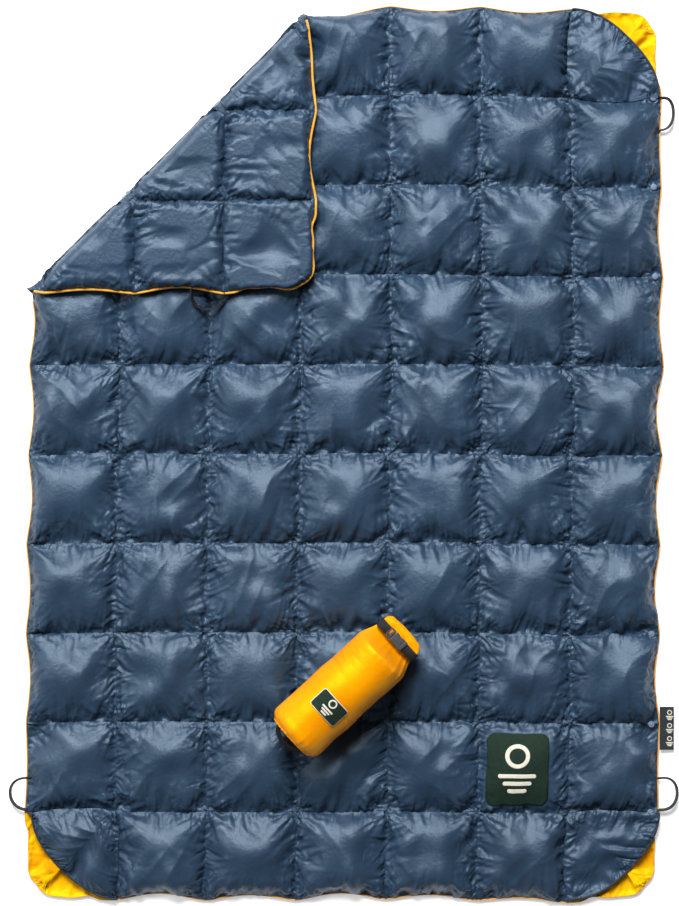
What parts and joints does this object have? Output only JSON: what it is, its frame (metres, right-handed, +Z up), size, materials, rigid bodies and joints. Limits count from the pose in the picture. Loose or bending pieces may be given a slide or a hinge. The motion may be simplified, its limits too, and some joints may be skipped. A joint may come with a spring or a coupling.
{
  "type": "camp quilt",
  "caption": "Down camp quilt with sewn square chambers, piped edge, corner hand pockets, webbing loops and side snaps, one corner folded over, with its roll-top stuff sack lying on it.",
  "frame": {"origin": "centre of the bounding box at the underside, where the quilt lies on the ground", "axes": "+Y towards the end with the folded corner, +X towards the edge with the snaps, +Z up"},
  "size_m": [1.436, 1.905, 0.1738],
  "materials": {
    "navy_shell": "satin",
    "navy_back": "satin",
    "down_fill": "matte",
    "navy_thread": "matte",
    "orange_piping": "satin",
    "orange_lining": "satin",
    "dark_binding": "matte",
    "black_webbing": "matte",
    "snap_shell": "satin",
    "tag_weave": "matte",
    "patch_green": "matte",
    "emblem_cream": "matte",
    "sack_gold": "satin",
    "buckle_grey": "satin",
    "stiffener": "matte"
  },
  "bodies": {
    "quilt": {"back_shell": "navy_back", "front_shell": "navy_shell", "fill_row_01": "down_fill", "fill_row_02": "down_fill", "fill_row_03": "down_fill", "fill_row_04": "down_fill", "fill_row_05": "down_fill", "fill_row_06": "down_fill", "fill_row_07": "down_fill", "fill_row_08": "down_fill", "fill_row_09": "down_fill", "fill_row_10": "down_fill", "seam_stitching": "navy_thread", "edge_piping": "orange_piping", "pocket_panel_top_right": "navy_shell", "pocket_panel_bottom_right": "navy_shell", "pocket_panel_bottom_left": "navy_shell", "pocket_lining_top_right": "orange_lining", "pocket_lining_bottom_right": "orange_lining", "pocket_lining_bottom_left": "orange_lining", "pocket_binding_top_right": "dark_binding", "pocket_binding_bottom_right": "dark_binding", "pocket_binding_bottom_left": "dark_binding", "snap_caps": "snap_shell", "snap_sockets": "snap_shell", "snap_studs": "snap_shell", "snap_posts": "snap_shell", "patch": "patch_green", "patch_emblem": "emblem_cream"},
    "corner_flap": {"flap_back_shell": "navy_back", "flap_front_shell": "navy_shell", "flap_fill": "down_fill", "flap_stitching": "navy_thread", "flap_piping": "orange_piping", "pocket_panel_top_left": "navy_shell", "pocket_lining_top_left": "orange_lining", "pocket_binding_top_left": "dark_binding"},
    "loop_top_right": {"loop_top_right": "black_webbing"},
    "loop_bottom_right": {"loop_bottom_right": "black_webbing"},
    "loop_bottom_left": {"loop_bottom_left": "black_webbing"},
    "loop_top_left": {"loop_top_left": "black_webbing"},
    "side_tag": {"side_tag": "tag_weave"},
    "stuff_sack": {"sack_shell": "sack_gold", "sack_base": "sack_gold", "sack_base_seam": "sack_gold", "sack_contents": "navy_shell", "sack_collar": "sack_gold", "collar_stiffener": "stiffener", "strap_socket_side": "black_webbing", "buckle_socket": "buckle_grey", "sack_label": "patch_green", "sack_label_emblem": "emblem_cream"},
    "sack_handle": {"sack_handle": "black_webbing"},
    "buckle_plug": {"buckle_plug": "buckle_grey", "strap_plug_side": "black_webbing"},
    "buckle_prong_upper": {"buckle_prong_upper": "buckle_grey"},
    "buckle_prong_lower": {"buckle_prong_lower": "buckle_grey"}
  },
  "joints": [
    {"name": "corner_fold", "type": "hinge", "parent": "quilt", "child": "corner_flap", "pos_m": [-0.37, 0.6475, 0.0363], "axis": [-0.7071, -0.7071, 0], "range_deg": [0, 180]},
    {"name": "loop_top_right_turn", "type": "hinge", "parent": "quilt", "child": "loop_top_right", "pos_m": [0.6762, 0.725, 0.014], "axis": [0, -1, 0], "range_deg": [0, 90]},
    {"name": "loop_bottom_right_turn", "type": "hinge", "parent": "quilt", "child": "loop_bottom_right", "pos_m": [0.6762, -0.725, 0.014], "axis": [0, -1, 0], "range_deg": [0, 90]},
    {"name": "loop_bottom_left_turn", "type": "hinge", "parent": "quilt", "child": "loop_bottom_left", "pos_m": [-0.6762, -0.725, 0.014], "axis": [0, 1, 0], "range_deg": [0, 90]},
    {"name": "loop_top_left_turn", "type": "hinge", "parent": "corner_flap", "child": "loop_top_left", "pos_m": [-0.2925, 0.3413, 0.0586], "axis": [-1, 0, 0], "range_deg": [0, 90]},
    {"name": "side_tag_turn", "type": "hinge", "parent": "quilt", "child": "side_tag", "pos_m": [0.6762, -0.585, 0.014], "axis": [0, -1, 0], "range_deg": [0, 90]},
    {"name": "sack_lift", "type": "slide", "parent": "quilt", "child": "stuff_sack", "axis": [0, 0, 1], "range_m": [0, 0.3]},
    {"name": "handle_turn", "type": "hinge", "parent": "stuff_sack", "child": "sack_handle", "pos_m": [-0.11495, -0.5955, 0.0823], "axis": [-0.6756, 0.7373, 0], "range_deg": [0, 60]},
    {"name": "buckle_pull", "type": "slide", "parent": "stuff_sack", "child": "buckle_plug", "axis": [-0.6756, 0.7373, 0], "range_m": [0, 0.03]},
    {"name": "prong_upper_squeeze", "type": "hinge", "parent": "buckle_plug", "child": "buckle_prong_upper", "pos_m": [0.10735, -0.37362, 0.1163], "axis": [0, 0, -1], "range_deg": [0, 4], "stiffness_Nm_per_rad": 0.0001},
    {"name": "prong_lower_squeeze", "type": "hinge", "parent": "buckle_plug", "child": "buckle_prong_lower", "pos_m": [0.09615, -0.38389, 0.1163], "axis": [0, 0, 1], "range_deg": [0, 4], "stiffness_Nm_per_rad": 0.0001}
  ],
  "couplings": [
    {"joint": "prong_lower_squeeze", "follows": "prong_upper_squeeze", "ratio": 1}
  ]
}
